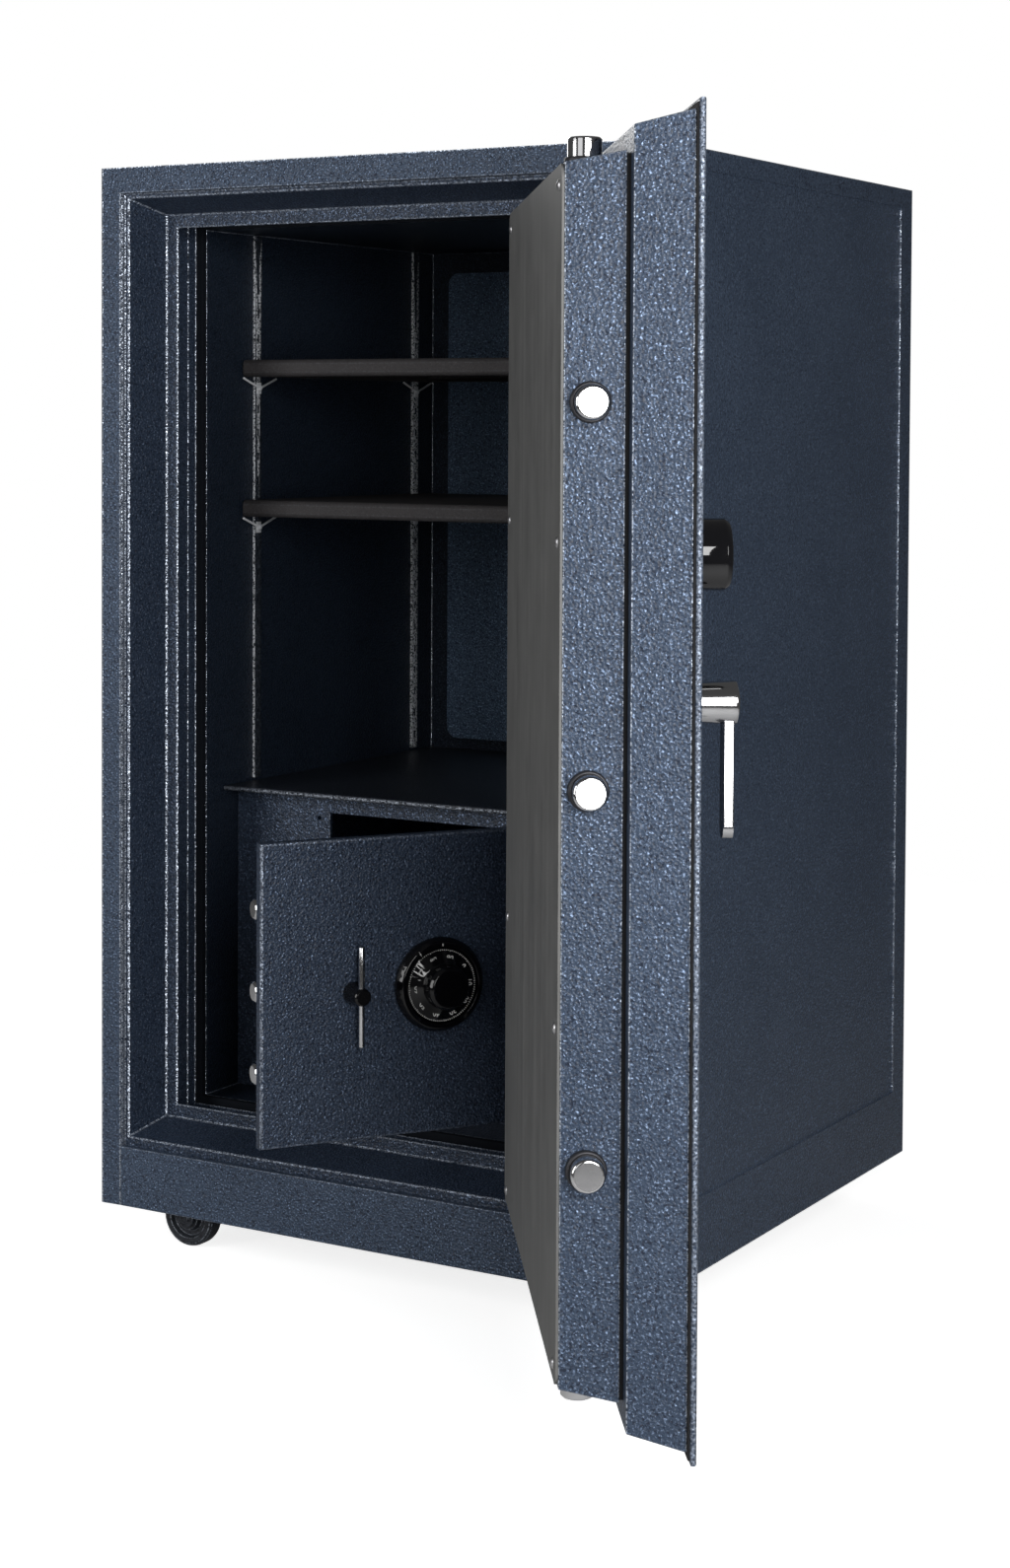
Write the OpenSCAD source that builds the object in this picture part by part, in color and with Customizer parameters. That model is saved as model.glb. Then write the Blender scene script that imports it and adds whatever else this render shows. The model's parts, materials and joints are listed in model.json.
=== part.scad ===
// Fireproof safe on casters, with a stepped outer door, two shelves and a locking inner chest.
// Millimetres, +Z up, front towards -Y, origin at the centre of the body's flat underside.

/* [Body] */
// width of the body
body_w = 638; // [630:2:680]
// depth of the body
body_d = 622; // [614:2:682]
// height of the body above its underside
body_h = 1067; // [1047:2:1127]
// thickness of the outer steel sheet
shell_t = 3; // [2.5:0.5:3.5]
// radius of the body's upright corners
corner_r = 4; // [3.5:0.5:6]
// width of the front band beside and above the doorway
band_w = 26; // [24:1:28]
// height of the skirt under the doorway
sill_z = 61.5; // [60:0.5:66]
// how deep the side panels are pressed in
press_depth = 1.5; // [1:0.5:2]

/* [Door frame] */
// thickness of the door frame's sheet
frame_t = 3; // [2.5:0.5:3]
// depth of the recess that takes the edge of the door plate
recess_depth = 8; // [7.5:0.5:9]
// width of the ledge behind the door plate
ledge_w = 5; // [4:0.5:6]
// how far the sloping part of the frame runs inwards
bevel_run = 14; // [13:0.5:15]
// how deep the sloping part of the frame reaches
bevel_depth = 45; // [45:0.5:48]
// width of the lip that the bolts lock behind
lip_w = 14; // [13:0.5:14.5]

/* [Inside] */
// thickness of the inner liner's sheet
liner_t = 2; // [1.5:0.5:2.5]
// thickness of the insulation behind the back wall
back_fill_t = 65; // [60:1:70]
// underside of the upper shelf
upper_shelf_z = 857; // [760:1:900]
// underside of the lower shelf
lower_shelf_z = 707.5; // [560:0.5:740]
// height of a shelf's folded edge
shelf_h = 18; // [14:0.5:20]
// how far the shelves stand back from the liner's front edge
shelf_setback = 60; // [56:1:80]

/* [Chest] */
// underside of the chest's top plate
chest_z = 417.5; // [414:0.5:425]
// thickness of the chest's top plate
chest_top_t = 5; // [4:0.5:6]
// thickness of the chest door
chest_door_t = 12.4; // [11:0.1:12.6]
// angle at which the chest door stands open
chest_angle = 55; // [0:1:79]
// how far the chest's front stands back from the liner's front edge
chest_setback = 56; // [54:1:60]
// radius of a chest bolt
chest_bolt_r = 10; // [9:0.1:10.4]
// travel of the chest bolts
chest_stroke = 22; // [22:0.5:23]
// how far the chest handle stands out from the chest door
chest_handle_l = 26.5; // [24:0.5:27]
// length of the chest handle's cross bar
chest_bar_l = 96; // [80:1:110]
// radius of the chest dial's knob
chest_knob_r = 21; // [19:0.5:22.5]
// how far the chest dial's knob stands out from the chest door
chest_knob_l = 31; // [26:0.5:32]

/* [Outer door] */
// angle at which the outer door stands open
door_angle = 124.5; // [80:0.5:180]
// thickness of the door plate
plate_t = 4.7; // [4:0.1:5]
// gap between the door plate and the front bands
plate_gap = 4; // [3:0.5:5]
// radius of a door bolt
bolt_r = 12.7; // [11:0.1:13]
// travel of the door bolts
bolt_stroke = 16; // [16:0.5:17]
// height of the lever handle's axis
handle_z = 595; // [590:1:600]
// height of the outer dial's axis
dial_z = 709; // [705:1:720]
// length of the lever below its axis
lever_l = 105; // [90:1:120]
// width of the lever
lever_w = 20; // [16:1:22]
// how far the handle's hub stands out from the plate
hub_l = 54.6; // [50:0.2:60]
// radius of the outer dial's knob
dial_knob_r = 27.8; // [24:0.2:30]
// how far the outer dial's knob stands out from the plate
dial_knob_l = 46; // [36:1:50]

/* [Casters] */
// radius of a caster wheel
wheel_r = 31; // [30:0.5:31.5]
// width of a caster wheel
wheel_w = 22; // [20:0.5:23]
// height of the wheel axles, below the underside
axle_z = -16; // [-20:0.5:-15]

/* [Hidden] */
paint = [0.13, 0.16, 0.22];
dark_paint = [0.08, 0.1, 0.14];
grey = [0.3, 0.3, 0.29];
shelf_grey = [0.25, 0.24, 0.25];
chrome = [0.8, 0.8, 0.8];
steel = [0.6, 0.6, 0.6];
black = [0.03, 0.03, 0.03];
fill_tone = [0.6, 0.58, 0.55];

half_w = body_w / 2;
gap = 0.3;
cut = 1;

// depths through the front of the body, from the front face inwards
bevel_y0 = recess_depth;
bevel_y1 = recess_depth + bevel_depth;
lip_y1 = bevel_y1 + frame_t;
channel_l = 42;
channel_t = 2;
channel_y1 = lip_y1 + channel_l;
break_t = 6;
liner_y0 = channel_y1 + break_t;
liner_y1 = body_d - shell_t - back_fill_t;
back_panel_t = 10;
shelf_back_gap = 4;
shelf_y0 = liner_y0 + shelf_setback;
shelf_d = liner_y1 - back_panel_t - shelf_back_gap - shelf_y0;

// distances in from the body's outer sides for each step of the doorway
sill_ledge = 4;
ledge_s = band_w + ledge_w;
bevel_s = ledge_s + bevel_run;
lip_s = bevel_s + lip_w;
channel_s = bevel_s - 7;
break_s = channel_s + 10;
liner_s = lip_s - 1;
liner_outer_s = liner_s - liner_t;
inside_half = half_w - liner_s;

// the outer door, as it sits when closed
plate_y0 = 1;
plate_y1 = plate_y0 + plate_t;
seal_y1 = plate_y1 + 1.3;
plug_y1 = bevel_y1 - 3.5;
box_y0 = bevel_y1 - 0.5;
box_y1 = channel_y1 - 2;
panel_t = 2;
plate_s = band_w + plate_gap;
plug_s0 = bevel_s - 8;
plug_s1 = bevel_s + 2.5;
box_s0 = lip_s + 5;
box_s1 = lip_s + 13;
plug_t = 2;
box_t = 3;
bolt_y = lip_y1 + 21;
hinge_x = half_w - 28.5;
hinge_y = -9;
hinge_r = 8;
hinge_pin_r = 5;
hinge_l = 100;
hinge_lows = [180, 830];
pin_clearance = 0.05;

// bolt work in the outer door
low_bolt_z = 272;
high_bolt_z = body_h - 243;
side_bolt_zs = [low_bolt_z, (low_bolt_z + high_bolt_z) / 2 - 2, high_bolt_z];
bolt_tip_s = channel_s + 13;
side_bolt_x0 = bolt_tip_s - half_w;
side_bolt_x1 = side_bolt_x0 + 40;
bar_w = 40;
bar_t = 6;
bar_x1 = side_bolt_x1 + bar_w;
rod_x = bar_x1 - 11;
rod_w = 16;
rod_t = 5;
rod_y0 = bolt_y + 5;
bolt_shank_l = 87;
top_bolt_z1 = body_h - channel_s - 12;
bottom_bolt_z0 = low(channel_s) + 12.5;
upper_slot_z = handle_z + 65;
lower_slot_z = handle_z - 155;
drive_pin_r = 3.5;
rod_pin_r = 3;
handle_x = -110;
dial_x = handle_x;
spindle_r = 6;
dial_spindle_r = 4;
bush_r = 15;
lock_size = [72, 30, 88];
lock_bore_l = 16;
spindle_end_gap = 2.5;

// the chest, inside the liner
chest_y0 = liner_y0 + chest_setback;
chest_front_t = 5;
chest_back_y = liner_y1 - 5;
chest_floor_z = low(liner_s) + gap;
chest_half = inside_half - 1;
chest_wall_t = 3;
chest_open_x = [-141.6, 172];
chest_open_z = [146, 399];
chest_plate_x = [-162, 182];
chest_plate_z = [128, 416];
chest_hinge = [190, chest_y0 - 17];
chest_hinge_r = 6.5;
chest_pin_r = 3;
chest_hinge_zs = [180, 360];
chest_hinge_l = 64;
chest_bolt_y = chest_y0 + chest_front_t + chest_bolt_r + 0.6;
chest_bolt_zs = [194, 272, 350];
chest_bolt_x = [-160, -120];
chest_axis = [-69, 269];
chest_dial_axis = [18, 271];
chest_lock_size = [66, 25, 88];
chest_lock_bore_l = 14;
chest_cam_r = 21;
chest_door_y1 = chest_y0 - gap;
chest_door_y0 = chest_door_y1 - chest_door_t;

// casters
caster_x = half_w - 93;
caster_ys = [57, body_d - 57];
caster_trail = 16;
well_w = 104;
well_h = 44;
well_t = 2;
axle_r = 5;
fork_t = 3;

// lower edge of the doorway at a distance in from the sides
function low(inset) = sill_z + (inset <= band_w ? 0 : sill_ledge) + inset - band_w;

// distance in from the sides of the frame's slope, the plug's side and the bolt box's side at a depth
function bevel_at(y) = ledge_s + bevel_run * (y - bevel_y0) / bevel_depth;
function plug_at(y) = plug_s0 + (plug_s1 - plug_s0) * (y - seal_y1) / (plug_y1 - seal_y1);
function box_at(y) = box_s0 + (box_s1 - box_s0) * (y - box_y0) / (box_y1 - box_y0);

// moves a shape from front-face depths to the part's own origin
module placed()
    translate([0, -body_d / 2, 0]) children();

// swings the outer door's pieces open
module on_door()
    placed()
        translate([hinge_x, hinge_y, 0]) rotate([0, 0, door_angle]) translate([-hinge_x, -hinge_y, 0])
            children();

// swings the chest door's pieces open
module on_chest_door()
    placed()
        translate([chest_hinge[0], chest_hinge[1], 0]) rotate([0, 0, chest_angle])
            translate([-chest_hinge[0], -chest_hinge[1], 0]) children();

// an (x, z) outline given depth from y0 to y1
module through(y0, y1)
    translate([0, y1, 0]) rotate([90, 0, 0]) linear_extrude(y1 - y0) children();

// a (y, z) outline given width from x0 to x1
module across(x0, x1)
    translate([x0, 0, 0]) rotate([90, 0, 90]) linear_extrude(x1 - x0) children();

// cylinder along the depth, standing on y0
module round_through(x, z, r, y0, y1, fn = 64)
    translate([x, y1, z]) rotate([90, 0, 0]) cylinder(y1 - y0, r, r, $fn = fn);

// cylinder across the width, starting at x0
module round_across(x0, x1, y, z, r, fn = 48)
    translate([x0, y, z]) rotate([0, 90, 0]) cylinder(x1 - x0, r, r, $fn = fn);

// block between two corners
module block(x, y, z)
    translate([x[0], y[0], z[0]]) cube([x[1] - x[0], y[1] - y[0], z[1] - z[0]]);

module rounded(w, h, r)
    union() {
        square([w - 2 * r, h], center = true);
        square([w, h - 2 * r], center = true);
        for (x = [-1, 1], y = [-1, 1])
            translate([x * (w / 2 - r), y * (h / 2 - r)]) circle(r, $fn = 48);
    }

// block with the doorway's outline
module doorway_box(inset, y0, y1)
    block([inset - half_w, half_w - inset], [y0, y1], [low(inset), body_h - inset]);

module doorway_ring(outer, inner, y0, y1)
    difference() {
        doorway_box(outer, y0, y1);
        doorway_box(inner, y0 - cut, y1 + cut);
    }

// doorway outline that narrows from inset s0 at y0 to s1 at y1, made longer both ways by extra
module doorway_taper(s0, y0, s1, y1, extra = 0) {
    slope = (s1 - s0) / (y1 - y0);
    a = s0 - slope * extra;
    b = s1 + slope * extra;
    ya = y0 - extra;
    yb = y1 + extra;
    intersection() {
        linear_extrude(body_h)
            polygon([[a - half_w, ya], [half_w - a, ya], [half_w - b, yb], [b - half_w, yb]]);
        across(-half_w, half_w)
            polygon([[ya, low(a)], [ya, body_h - a], [yb, body_h - b], [yb, low(b)]]);
    }
}

// plan outline of the body, moved in by inset
module plan(inset, r)
    translate([0, body_d / 2]) rounded(body_w - 2 * inset, body_d - 2 * inset, r);

// outline of a pressed side panel, in (y, z)
press_y = [30, body_d - 34];
press_z = [72, body_h - 20];
module press_outline(inset)
    translate([(press_y[0] + press_y[1]) / 2, (press_z[0] + press_z[1]) / 2])
        rounded(press_y[1] - press_y[0] - 2 * inset, press_z[1] - press_z[0] - 2 * inset, 2);

module each_caster()
    for (x = [-caster_x, caster_x], y = caster_ys)
        translate([x, y, 0]) children();

/* Body pieces */

module outer_shell()
    color(paint)
        placed()
            difference() {
                union() {
                    difference() {
                        linear_extrude(body_h) plan(0, corner_r);
                        translate([0, 0, -cut])
                            linear_extrude(body_h - shell_t + cut) plan(shell_t, corner_r - shell_t);
                    }
                    for (side = [0, 1])
                        mirror([side, 0, 0])
                            across(half_w - shell_t - press_depth, half_w - press_depth)
                                press_outline(-shell_t);
                }
                for (side = [0, 1])
                    mirror([side, 0, 0]) across(half_w - press_depth, half_w + cut) press_outline(0);
                block([band_w - half_w, half_w - band_w], [-cut, shell_t + cut], [-cut, body_h - band_w]);
            }

module base_plate()
    color(dark_paint)
        placed()
            difference() {
                union() {
                    linear_extrude(shell_t) plan(shell_t, corner_r - shell_t);
                    each_caster() linear_extrude(well_h) square(well_w, center = true);
                }
                each_caster()
                    translate([0, 0, -cut])
                        linear_extrude(well_h - well_t + cut) square(well_w - 2 * well_t, center = true);
                block([band_w - half_w, half_w - band_w], [0, shell_t], [-cut, shell_t + cut]);
            }

module front_skirt()
    color(paint)
        placed()
            union() {
                block([band_w + gap - half_w, half_w - band_w - gap], [0, shell_t], [0, sill_z]);
                block([band_w + gap - half_w, half_w - band_w - gap], [0, recess_depth],
                      [sill_z - frame_t, sill_z]);
            }

module door_frame()
    color(paint)
        placed()
            difference() {
                union() {
                    doorway_ring(band_w - frame_t, band_w, shell_t, recess_depth + frame_t);
                    doorway_ring(band_w - frame_t, ledge_s, recess_depth, recess_depth + frame_t);
                    difference() {
                        doorway_taper(ledge_s - frame_t, bevel_y0, bevel_at(lip_y1) - frame_t, lip_y1);
                        doorway_taper(ledge_s, bevel_y0, bevel_at(lip_y1), lip_y1, cut);
                    }
                    doorway_ring(channel_s, lip_s, bevel_y1, lip_y1);
                }
                block([band_w - half_w, half_w - band_w], [0, recess_depth], [0, sill_z + cut / 2]);
            }

module bolt_channel()
    color(dark_paint)
        placed()
            union() {
                doorway_ring(channel_s, channel_s + channel_t, lip_y1, channel_y1);
                doorway_ring(channel_s, break_s + channel_t, channel_y1 - channel_t, channel_y1);
            }

module thermal_break()
    color(grey)
        placed()
            doorway_ring(break_s, liner_s, channel_y1, liner_y0);

module body_fill()
    color(fill_tone)
        placed()
            difference() {
                translate([0, 0, shell_t])
                    linear_extrude(body_h - 2 * shell_t) plan(shell_t, corner_r - shell_t);
                doorway_box(band_w - frame_t, 0, recess_depth + frame_t);
                doorway_taper(ledge_s - frame_t - gap, bevel_y0, bevel_s - frame_t - gap, bevel_y1);
                doorway_box(channel_s, bevel_y1, channel_y1);
                doorway_box(break_s, channel_y1 - cut, liner_y0 + liner_t);
                doorway_box(liner_outer_s, liner_y0, liner_y1 + liner_t);
                block([band_w + gap - half_w, half_w - band_w - gap], [0, shell_t], [0, sill_z]);
                each_caster()
                    translate([0, 0, -cut]) linear_extrude(well_h + cut) square(well_w, center = true);
                for (side = [0, 1])
                    mirror([side, 0, 0])
                        across(half_w - shell_t - press_depth, half_w) press_outline(-shell_t);
            }

module inner_liner()
    color(dark_paint)
        placed()
            union() {
                difference() {
                    doorway_box(liner_outer_s, liner_y0, liner_y1 + liner_t);
                    doorway_box(liner_s, liner_y0 - cut, liner_y1);
                }
                doorway_ring(break_s, liner_s, liner_y0, liner_y0 + liner_t);
            }

// raised panel on the back wall of the compartment
back_panel_z = [chest_z + chest_top_t + 13.5, body_h - 82];
module back_panel()
    color(dark_paint)
        placed()
            through(liner_y1 - back_panel_t, liner_y1)
                translate([0, (back_panel_z[0] + back_panel_z[1]) / 2])
                    rounded(2 * (inside_half - 28), back_panel_z[1] - back_panel_z[0], 14);

// slotted channels that carry the shelf clips
standard_ys = [shelf_y0 + 29.5, liner_y1 - 42];
standard_w = 12;
standard_h = 3;
standard_t = 1;
standard_z = [chest_z + chest_top_t + 3, body_h - liner_s - 1];
standard_pitch = 25.4;
module shelf_standard()
    difference() {
        block([0, standard_h], [-standard_w / 2, standard_w / 2], standard_z);
        block([-cut, standard_h - standard_t], [standard_t - standard_w / 2, standard_w / 2 - standard_t],
              [standard_z[0] - cut, standard_z[1] + cut]);
        for (z = [standard_z[0] + 12 : standard_pitch : standard_z[1] - 12])
            block([0, standard_h + cut], [-1.5, 1.5], [z, z + 8]);
    }

module shelf_standards()
    color(dark_paint)
        placed()
            for (side = [0, 1], y = standard_ys)
                mirror([side, 0, 0]) translate([-inside_half, y, 0]) shelf_standard();

// wire clip under one end of a shelf: hook plate, round boss and two rising wires with tapered ends
clip_wire_r = 1.25;
clip_reach = 30;
clip_drop = 12;
clip_plate_t = 1.2;
clip_plate_half = 4;
clip_boss_r = 2.2;
clip_end = 0.5;
module clip_wire(length)
    rotate_extrude($fn = 32)
        polygon([[0, 0], [clip_wire_r, 0], [clip_wire_r, length], [clip_wire_r - clip_end, length + clip_end],
                 [0, length + clip_end]]);

module shelf_clip() {
    rise = clip_drop - clip_wire_r - gap;
    wire_x = clip_plate_t + clip_wire_r - 0.4;
    union() {
        block([0, clip_plate_t], [-clip_plate_half, clip_plate_half], [-clip_drop - 6, -clip_drop + 6]);
        round_across(clip_plate_t / 2, wire_x + clip_wire_r + 0.3, 0, -clip_drop, clip_boss_r);
        for (dir = [-1, 1])
            translate([wire_x, 0, -clip_drop]) rotate([-dir * atan2(clip_reach, rise), 0, 0])
                clip_wire(norm([clip_reach, rise]));
    }
}

module shelf_clips()
    color(chrome)
        placed()
            for (side = [0, 1], y = standard_ys, z = [upper_shelf_z, lower_shelf_z])
                mirror([side, 0, 0]) translate([standard_h - inside_half, y, z]) shelf_clip();

// folded steel shelf with rounded front and rear edges, hollow underneath
shelf_half = inside_half - standard_h - 0.5;
shelf_t = 1.5;
shelf_hem = 14;
module shelf(z0)
    translate([0, shelf_y0 + shelf_d / 2, z0 + shelf_h / 2])
        difference() {
            across(-shelf_half, shelf_half) rounded(shelf_d, shelf_h, 5);
            across(shelf_t - shelf_half, shelf_half - shelf_t)
                rounded(shelf_d - 2 * shelf_t, shelf_h - 2 * shelf_t, 3.5);
            across(shelf_t - shelf_half, shelf_half - shelf_t)
                translate([-shelf_d / 2 + shelf_hem, -shelf_h / 2 - cut])
                    square([shelf_d - 2 * shelf_hem, shelf_h / 2]);
        }

module upper_shelf()
    color(shelf_grey) placed() shelf(upper_shelf_z);

module lower_shelf()
    color(shelf_grey) placed() shelf(lower_shelf_z);

module chest_top_plate()
    color(paint)
        placed()
            block([gap / 2 - inside_half, inside_half - gap / 2], [chest_y0 - 26, liner_y1 - gap],
                  [chest_z, chest_z + chest_top_t]);

module chest_body()
    color(dark_paint)
        placed()
            difference() {
                block([-chest_half, chest_half], [chest_y0 + chest_front_t, chest_back_y],
                      [chest_floor_z, chest_z]);
                block([chest_wall_t - chest_half, chest_half - chest_wall_t],
                      [chest_y0, chest_back_y - chest_wall_t],
                      [chest_floor_z + chest_wall_t, chest_z + cut]);
            }

// length of the knuckle at either end of a chest hinge
chest_knuckle_l = 20;
module chest_front()
    color(paint)
        placed()
            difference() {
                union() {
                    block([-chest_half, chest_half], [chest_y0, chest_y0 + chest_front_t],
                          [chest_floor_z, chest_z]);
                    for (z = chest_hinge_zs) {
                        for (low_z = [z - chest_hinge_l / 2, z + chest_hinge_l / 2 - chest_knuckle_l])
                            translate([0, 0, low_z]) {
                                translate([chest_hinge[0], chest_hinge[1], 0])
                                    cylinder(chest_knuckle_l, chest_hinge_r, chest_hinge_r, $fn = 48);
                                block([chest_hinge[0], chest_hinge[0] + chest_hinge_r],
                                      [chest_hinge[1], chest_y0], [0, chest_knuckle_l]);
                            }
                        block([chest_hinge[0] + 2, chest_hinge[0] + 38], [chest_y0 - 3, chest_y0],
                              [z - chest_hinge_l / 2, z + chest_hinge_l / 2]);
                    }
                }
                block(chest_open_x, [chest_y0 - cut, chest_y0 + chest_front_t + cut], chest_open_z);
                round_through(chest_open_x[0] - 13.4, chest_open_z[1] - 6.4, 2.5, chest_y0 - cut,
                              chest_y0 + chest_front_t + cut, 32);
                for (z = chest_hinge_zs)
                    translate([chest_hinge[0], chest_hinge[1], z - chest_hinge_l / 2 - cut])
                        cylinder(chest_hinge_l + 2 * cut, chest_pin_r + pin_clearance,
                                 chest_pin_r + pin_clearance, $fn = 48);
            }

// lower half of each outer hinge, with its leaf on the front band
hinge_knuckle_l = hinge_l / 2 - 0.2;
module hinge_leaves()
    color(paint)
        placed()
            for (z = hinge_lows)
                difference() {
                    union() {
                        translate([hinge_x, hinge_y, z])
                            cylinder(hinge_knuckle_l, hinge_r, hinge_r, $fn = 64);
                        block([hinge_x, half_w - 3], [-4, 0], [z, z + hinge_knuckle_l]);
                    }
                    translate([hinge_x, hinge_y, z - cut])
                        cylinder(hinge_l, hinge_pin_r + pin_clearance, hinge_pin_r + pin_clearance, $fn = 64);
                }

module hinge_pins()
    color(steel)
        placed()
            union() {
                for (z = hinge_lows)
                    translate([hinge_x, hinge_y, z - 3]) {
                        cylinder(3, hinge_r - 1, hinge_r, $fn = 64);
                        cylinder(hinge_l, hinge_pin_r, hinge_pin_r, $fn = 64);
                    }
                for (z = chest_hinge_zs)
                    translate([chest_hinge[0], chest_hinge[1], z - chest_hinge_l / 2 - 2]) {
                        cylinder(2, chest_hinge_r, chest_hinge_r, $fn = 48);
                        cylinder(chest_hinge_l + 4, chest_pin_r, chest_pin_r, $fn = 48);
                    }
            }

// fixed top plate and bearing race of each caster
caster_plate = [76, 64, 4];
race_r = 22;
race_h = 6;
race_z = well_h - well_t - caster_plate[2] - race_h;
module caster_plates()
    color(steel)
        placed()
            each_caster()
                difference() {
                    union() {
                        translate([0, 0, race_z + race_h])
                            linear_extrude(caster_plate[2]) rounded(caster_plate[0], caster_plate[1], 6);
                        translate([0, 0, race_z]) cylinder(race_h, race_r - 2, race_r, $fn = 64);
                    }
                    for (x = [-1, 1], y = [-1, 1])
                        translate([x * 30, y * 23, race_z]) cylinder(race_h + 5, 3.3, 3.3, $fn = 32);
                    translate([0, 0, race_z - cut]) cylinder(race_h + 5, 6, 6, $fn = 48);
                }

module caster_bolts()
    color(steel)
        placed()
            each_caster()
                for (x = [-1, 1], y = [-1, 1])
                    translate([x * 30, y * 23, race_z + 2]) {
                        cylinder(4, 5.5, 5.5, $fn = 6);
                        cylinder(8, 3.2, 3.2, $fn = 32);
                    }

/* Outer door pieces */

// bores through the door for the handle's spindle and the dial's spindle
module spindle_bores(y0, y1) {
    round_through(handle_x, handle_z, spindle_r + 1, y0, y1, 48);
    round_through(dial_x, dial_z, dial_spindle_r + 1.5, y0, y1, 48);
}

module door_plate()
    color(paint)
        on_door()
            difference() {
                doorway_box(plate_s, plate_y0, plate_y1);
                spindle_bores(plate_y0 - cut, plate_y1 + cut);
            }

module door_seal()
    color(black)
        on_door() doorway_ring(plate_s + 3, plug_s0 + 23, plate_y1, seal_y1);

// hollow of the plug, moved in by inset and made longer towards the plate by extra
module plug_hollow(inset, extra = 0)
    doorway_taper(plug_at(seal_y1 - extra) + plug_t + inset, seal_y1 - extra,
                  plug_at(plug_y1 - plug_t) + plug_t + inset, plug_y1 - plug_t);

module door_plug()
    color(paint)
        on_door()
            difference() {
                doorway_taper(plug_s0, seal_y1, plug_s1, plug_y1);
                plug_hollow(0, cut);
                spindle_bores(seal_y1 - cut, plug_y1 + cut);
            }

module door_fill()
    color(fill_tone)
        on_door()
            difference() {
                plug_hollow(gap);
                spindle_bores(seal_y1 - cut, plug_y1 + cut);
            }

module door_break()
    color(black)
        on_door()
            difference() {
                doorway_box(box_s0 + 2, plug_y1, box_y0);
                spindle_bores(plug_y1 - cut, box_y0 + cut);
            }

module bolt_box()
    color(paint)
        on_door()
            difference() {
                doorway_taper(box_s0, box_y0, box_s1, box_y1);
                intersection() {
                    doorway_taper(box_s0 + box_t, box_y0, box_s1 + box_t, box_y1, cut);
                    block([-half_w, half_w], [box_y0 + box_t, box_y1 + cut], [0, body_h]);
                }
                spindle_bores(box_y0 - cut, box_y0 + box_t + cut);
                bushing_holes(bush_r + pin_clearance);
            }

// holes or bushes at every bolt, along the bolt's own axis
bushing_out = 4;
bushing_l = 15;
module bushing_holes(r) {
    for (z = side_bolt_zs)
        round_across(box_at(bolt_y) - half_w - 12, box_at(bolt_y) - half_w + 20, bolt_y, z, r);
    translate([rod_x, bolt_y, body_h - box_at(bolt_y) - 20]) cylinder(32, r, r, $fn = 48);
    translate([rod_x, bolt_y, low(box_at(bolt_y)) - 12]) cylinder(32, r, r, $fn = 48);
}

// one bush standing on the XY plane, its outer edge chamfered
module bushing()
    rotate_extrude($fn = 64)
        polygon([[bolt_r + pin_clearance, 0], [bush_r, 0], [bush_r, bushing_l - 1], [bush_r - 1, bushing_l],
                 [bolt_r + pin_clearance, bushing_l]]);

module bolt_bushings()
    color(chrome)
        on_door()
            union() {
                for (z = side_bolt_zs)
                    translate([box_at(bolt_y) - half_w - bushing_out + bushing_l, bolt_y, z])
                        rotate([0, -90, 0]) bushing();
                translate([rod_x, bolt_y, body_h - box_at(bolt_y) + bushing_out - bushing_l]) bushing();
                translate([rod_x, bolt_y, low(box_at(bolt_y)) - bushing_out + bushing_l]) mirror([0, 0, 1])
                    bushing();
            }

// grey cover sheet on the inside of the door
panel_s = box_s1 + 0.5;
panel_mid_z = (low(panel_s) + body_h - panel_s) / 2;
key_slot_x = -76;
key_slot_z = 722;
screw_xs = [panel_s + 21.5 - half_w, half_w - panel_s - 21.5];
screw_zs = [124, 370, 723, body_h - 87];
module inner_panel()
    color(grey)
        on_door()
            difference() {
                through(box_y1, box_y1 + panel_t)
                    translate([0, panel_mid_z])
                        rounded(2 * (half_w - panel_s), body_h - panel_s - low(panel_s), 12);
                block([key_slot_x - 2.5, key_slot_x + 2.5], [box_y1 - cut, box_y1 + panel_t + cut],
                      [key_slot_z - 11, key_slot_z + 11]);
                for (x = screw_xs, z = screw_zs)
                    round_through(x, z, 2.1, box_y1 - cut, box_y1 + panel_t + cut, 24);
            }

module panel_screws()
    color(steel)
        on_door()
            for (x = screw_xs, z = screw_zs)
                translate([x, box_y1 + panel_t, z]) rotate([-90, 0, 0])
                    rotate_extrude($fn = 32)
                        polygon([[0, -6], [2, -6], [2, 0], [4.5, 0], [4, 1], [2.6, 1.8], [0, 2.1]]);

module lock_body()
    color(steel)
        on_door()
            difference() {
                translate([dial_x - lock_size[0] / 2, box_y0 + box_t, dial_z - lock_size[2] / 2])
                    cube(lock_size);
                round_through(dial_x, dial_z, dial_spindle_r + 0.5, box_y0, box_y0 + box_t + lock_bore_l, 48);
            }

// fixed ring round a dial, hollow for the dial's disc
dial_ring_r = 45.5;
dial_ring_h = 12;
dial_ring_slope = 4;
dial_ring_floor = 4;
dial_disc_r = 36;
dial_disc_y = dial_ring_floor + 1;
module ring_shape(bore_r)
    rotate_extrude($fn = 96)
        polygon([[bore_r, 0], [dial_ring_r, 0], [dial_ring_r, dial_ring_floor + 1],
                 [dial_ring_r - dial_ring_slope, dial_ring_h], [dial_disc_r + 1, dial_ring_h],
                 [dial_disc_r + 1, dial_ring_floor], [bore_r, dial_ring_floor]]);

module dial_ring()
    color(black)
        on_door()
            translate([dial_x, plate_y0, dial_z]) rotate([90, 0, 0]) ring_shape(dial_spindle_r + 1);

module handle_escutcheon()
    color(chrome)
        on_door()
            translate([handle_x, plate_y0, handle_z]) rotate([90, 0, 0])
                rotate_extrude($fn = 96)
                    polygon([[spindle_r + 0.8, 0], [22, 0], [22, 2], [20, 4], [spindle_r + 0.8, 4]]);

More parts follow.
